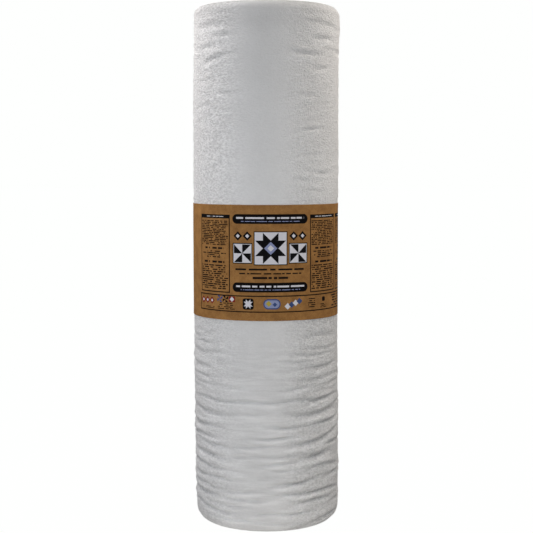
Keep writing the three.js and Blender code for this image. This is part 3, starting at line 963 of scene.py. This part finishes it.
def makeKraft():
    material, tree = newTree("printedKraftPaper")
    place = addNode(tree, "Attribute", attribute_name="printPlace").outputs["Vector"]

    # the paper itself
    drawnOut = addNode(tree, "Mapping", {"Vector": place, "Scale": kraft["stretch"]})
    fibre = addNode(tree, "TexNoise", {
        "Vector": drawnOut, "Scale": patternScale(kraft["fibre"]), "Detail": 3.0, "Roughness": 0.65})
    cloud = addNode(tree, "TexNoise", {
        "Vector": place, "Scale": patternScale(kraft["cloud"]), "Detail": 4.0, "Roughness": 0.6})
    tone = addNode(tree, "Mix", {0: 0.5, 2: fibre, 3: cloud}, data_type="FLOAT")
    ramp = addNode(tree, "ValToRGB", (tone,))
    for stop, position, name in zip(ramp.color_ramp.elements, kraft["rampStops"], ("deep", "pale")):
        stop.position, stop.color = position, paint(kraft[name])
    speck = addNode(tree, "TexNoise", {
        "Vector": drawnOut, "Scale": patternScale(kraft["speckLength"]), "Detail": 1.0})
    speckMask = addNode(tree, "MapRange", (speck, *kraft["speckEdge"], 0, kraft["speckCover"]))
    colour = addNode(tree, "Mix", {
        0: speckMask, 6: ramp, 7: paint(kraft["speck"])}, data_type="RGBA").outputs[2]

    # ink takes unevenly on the fibres, and only the outer side is printed
    side = addNode(tree, "SeparateXYZ", (place,)).outputs["Z"]
    printedSide = addNode(tree, "Math", (side, 0.5), operation="GREATER_THAN")
    inkGrain = addNode(tree, "MapRange", (fibre, *kraft["inkSpan"], *kraft["inkTake"]))
    inkTake = addNode(tree, "Math", (inkGrain, printedSide), operation="MULTIPLY")
    toMm = (1 / metresPerMm, 1 / metresPerMm, 0)
    flat = addNode(tree, "VectorMath", (place, toMm), operation="MULTIPLY")
    along = addNode(tree, "SeparateXYZ", (flat,)).outputs

    boxGroup, textGroup, blockGroup = makeBoxGroup(), makeTextGroup(), makeBlockGroup()

    def use(group, output="Mask", **inputs):
        inputs = {name: (*value, 0) if isinstance(value, tuple) else value for name, value in inputs.items()}
        return addNode(tree, "Group", inputs, node_tree=group).outputs[output]

    def printOver(ink, mask):
        nonlocal colour
        cover = addNode(tree, "Math", (mask, inkTake), operation="MULTIPLY")
        colour = addNode(tree, "Mix", {
            0: cover, 6: colour, 7: paint(inks[ink])}, data_type="RGBA").outputs[2]

    def printBox(ink, centre, size, rounding=0.0, where=flat):
        printOver(ink, use(boxGroup, Place=where, Centre=centre, Size=size, Rounding=rounding))

    def printFrame(ink, centre, size, where=flat):
        innerSize = tuple(side - 2 * layout["rule"] for side in size)
        outer, inner = (use(boxGroup, Place=where, Centre=centre, Size=sides) for sides in (size, innerSize))
        printOver(ink, addNode(tree, "Math", (outer, inner), operation="SUBTRACT"))

    def printLines(ink, centre, size, spacing, inked, ragged, seed, middle=1, where=flat):
        printOver(ink, use(
            textGroup, Place=where, Centre=centre, Size=size, Spacing=spacing, Seed=seed, Ragged=ragged,
            Middle=middle, Inked=inked))

    def printShapes(shapes, middle, level, where=flat):
        for shape, ink, across, up, size, *rounding in shapes:
            centre = (middle + across, level + up)
            if shape == "Box":
                printBox(ink, centre, size, *rounding, where=where)
            else:
                printOver(ink, use(blockGroup, shape, Place=where, Centre=centre, Across=size))

    # columns of small print: the place along the strip is taken from the nearest column's middle
    columns = layout["columns"]
    columnMiddle = columns[0]
    for before, after in zip(columns, columns[1:]):
        isPast = addNode(tree, "Math", (along["X"], (before + after) / 2), operation="GREATER_THAN")
        columnMiddle = addNode(tree, "Math", (
            isPast, after - before, columnMiddle), operation="MULTIPLY_ADD")
    across = addNode(tree, "Math", (along["X"], columnMiddle), operation="SUBTRACT")
    inColumn = addNode(tree, "CombineXYZ", (across, along["Y"]))
    top, size, heading = layout["columnTop"], layout["columnSize"], layout["headingHeight"]
    printFrame("black", (0, top - size[1] / 2), size, inColumn)
    printBox("black", (0, top - heading / 2), (size[0], heading), layout["headingRounding"], inColumn)
    for ink, under, wide, tall, spacing, inked, ragged, middle in columnPrint:
        centre = (0, top - under)
        printLines(ink, centre, (wide, tall), spacing, inked, ragged, columnMiddle, middle, inColumn)

    # the front panel's two bars are the same bar, so the height is taken from the nearer one
    panelMiddle = layout["panelMiddle"]
    lowerBar, upperBar = layout["bars"]
    apart, lowerSeed = layout["barSeeds"]
    isUpper = addNode(tree, "Math", (along["Y"], (lowerBar + upperBar) / 2), operation="GREATER_THAN")
    barHeight = addNode(tree, "Math", (isUpper, upperBar - lowerBar, lowerBar), operation="MULTIPLY_ADD")
    barSeed = addNode(tree, "Math", (isUpper, apart, lowerSeed), operation="MULTIPLY_ADD")
    up = addNode(tree, "Math", (along["Y"], barHeight), operation="SUBTRACT")
    inBar = addNode(tree, "CombineXYZ", (along["X"], up))
    printBox("black", (panelMiddle, 0), layout["barSize"], layout["barSize"][1] / 2, inBar)
    for ink, above, wide, tall, inked, ragged in barPrint:
        printLines(ink, (panelMiddle, above), (wide, tall), tall, inked, ragged, barSeed, where=inBar)

    # patchwork between them: a star in the middle, and the same blocks to its left and right
    row = layout["blockRow"]
    printShapes(starShapes, panelMiddle, row)
    fromMiddle = addNode(tree, "Math", (along["X"], panelMiddle), operation="SUBTRACT")
    eitherSide = addNode(tree, "Math", (fromMiddle,), operation="ABSOLUTE")
    beside = addNode(tree, "CombineXYZ", (eitherSide, along["Y"]))
    printShapes(besideShapes, 0, row, beside)
    for height, wide, spacing, inked, ragged in panelPrint:
        printLines("black", (panelMiddle, height), (wide, spacing), spacing, inked, ragged, height)

    # the lower strip with its small patches
    stripCentre, stripSize = layout["strip"]
    printFrame("black", stripCentre, stripSize)
    printShapes(stripShapes, 0, stripCentre[1])
    for at, above, wide, tall, spacing, inked, ragged, seed in stripPrint:
        printLines("black", (at, stripCentre[1] + above), (wide, tall), spacing, inked, ragged, seed)

    relief = addNode(tree, "Bump", {
        "Height": fibre, "Distance": kraft["fibreRelief"] * metresPerMm * reliefGain, "Strength": 1.0})
    shader = addNode(tree, "BsdfPrincipled", {
        "Base Color": colour,
        "Normal": relief,
        "Roughness": 0.8,
        "Specular IOR Level": 0.08,
    })
    addNode(tree, "OutputMaterial", {"Surface": shader})
    return material


labelBand = makeBand(makeKraft())
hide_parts("label_band")
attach(labelBand, "root")
print("band made")

# The camera stands a little above the band and looks slightly down
camera = {
    "distance": 2.874,  # metres, from the roll's axis
    "height": 0.797,  # metres
    "downTilt": 4.54,  # degrees
    "lens": 86.7,
    "sensor": 36,
}


def placeCamera():
    bpy.ops.object.camera_add(
        location=(0, -camera["distance"], camera["height"]),
        rotation=(math.radians(90 - camera["downTilt"]), 0, 0),
    )
    made = bpy.context.object
    made.data.lens = camera["lens"]
    made.data.sensor_width = camera["sensor"]
    bpy.context.scene.camera = made


placeCamera()

# Studio: a floor and a surround that show as one even near-white, soft lights close above both
# sides, which pick out the folds and fade downwards, and broad low ones at the front, which leave
# its middle plain
studio = {
    "white": "#fefffe",
    "floor": "#0d0d0d",  # dark, so that only its own glow shows and no shadow lies on it
    "floorGlow": 1,
    "floorSize": 80,  # metres
    "ambient": 0.265,
}
lights = (
    # name, place and aim in metres, size, watts, colour
    ("leftClose", (-0.6, 0, 1.5), (0, 0, 0.57), 0.4, 7.2, "#fff8f6"),
    ("leftCloseBack", (-0.6, 0.4, 1.5), (0, 0, 0.57), 0.4, 1.5, "#fff8f6"),
    ("rightClose", (0.6, 0, 1.5), (0, 0, 0.57), 0.4, 5.4, "#fff5ec"),
    ("rightFar", (2.2, -1, 3.2), (0, 0, 0.57), 0.9, 25, "#fff4e8"),
    ("leftFarFront", (-0.9, -1.5, 4.5), (0, 0, 0.57), 0.9, 2, "#fafcff"),
    ("frontLevel", (0, -1.8, 0.9), (0, 0, 0.7), 0.8, 3.9, "#eff5ff"),
    ("frontLeftLevel", (-1.2, -1.4, 0.52), (0, 0, 0.57), 0.8, 6.9, "#fcfbff"),
    ("frontRightLevel", (1.2, -1.4, 0.3), (0, 0, 0.4), 0.8, 1.2, "#fff0e2"),
    ("below", (0, -0.55, -0.35), (0, 0, 0.57), 0.5, 0.9, "#fff6ec"),
    ("backFar", (0.4, 2.0, 4.2), (0, 0, 0.57), 0.9, 16, "#ffffff"),
    ("back", (0, 3.2, 0.9), (0, 0, 0.57), 1.6, 14, "#ffffff"),
)


def makeStudio():
    bpy.context.scene.view_settings.view_transform = "Standard"
    world = bpy.data.worlds.new("surround")
    bpy.context.scene.world = world
    world.use_nodes = True
    tree = world.node_tree
    tree.nodes.clear()
    seen = addNode(tree, "Background", {"Color": paint(studio["white"]), "Strength": 1.0})
    lighting = addNode(tree, "Background", {"Color": (1, 1, 1, 1), "Strength": studio["ambient"]})
    path = addNode(tree, "LightPath").outputs["Is Camera Ray"]
    mixed = addNode(tree, "MixShader", (path, lighting, seen))
    addNode(tree, "OutputWorld", {"Surface": mixed})

    bpy.ops.mesh.primitive_plane_add(size=studio["floorSize"], location=(0, 0, 0))
    floor = bpy.context.object
    floor.name = "floor"
    material, tree = newTree("paleFloor")
    shader = addNode(tree, "BsdfPrincipled", {
        "Base Color": paint(studio["floor"]), "Roughness": 0.9, "Specular IOR Level": 0.0,
        "Emission Color": paint(studio["white"]), "Emission Strength": studio["floorGlow"]})
    addNode(tree, "OutputMaterial", {"Surface": shader})
    floor.data.materials.append(material)
    # the lamp below stands for the light that a pale floor throws back up, so the floor lets it
    # through and throws none back itself
    floor.visible_diffuse = False
    floor.visible_glossy = False
    floor.visible_shadow = False

    for name, place, aim, size, watts, colour in lights:
        bpy.ops.object.light_add(type="AREA", location=place)
        lamp = bpy.context.object
        lamp.name = name
        lamp.visible_camera = False
        lamp.data.shape = "RECTANGLE"
        lamp.data.size = lamp.data.size_y = size
        lamp.data.energy = watts
        lamp.data.color = paint(colour)[:3]
        lamp.rotation_euler = (Vector(aim) - Vector(place)).to_track_quat("-Z", "Y").to_euler()


makeStudio()
print("studio set")
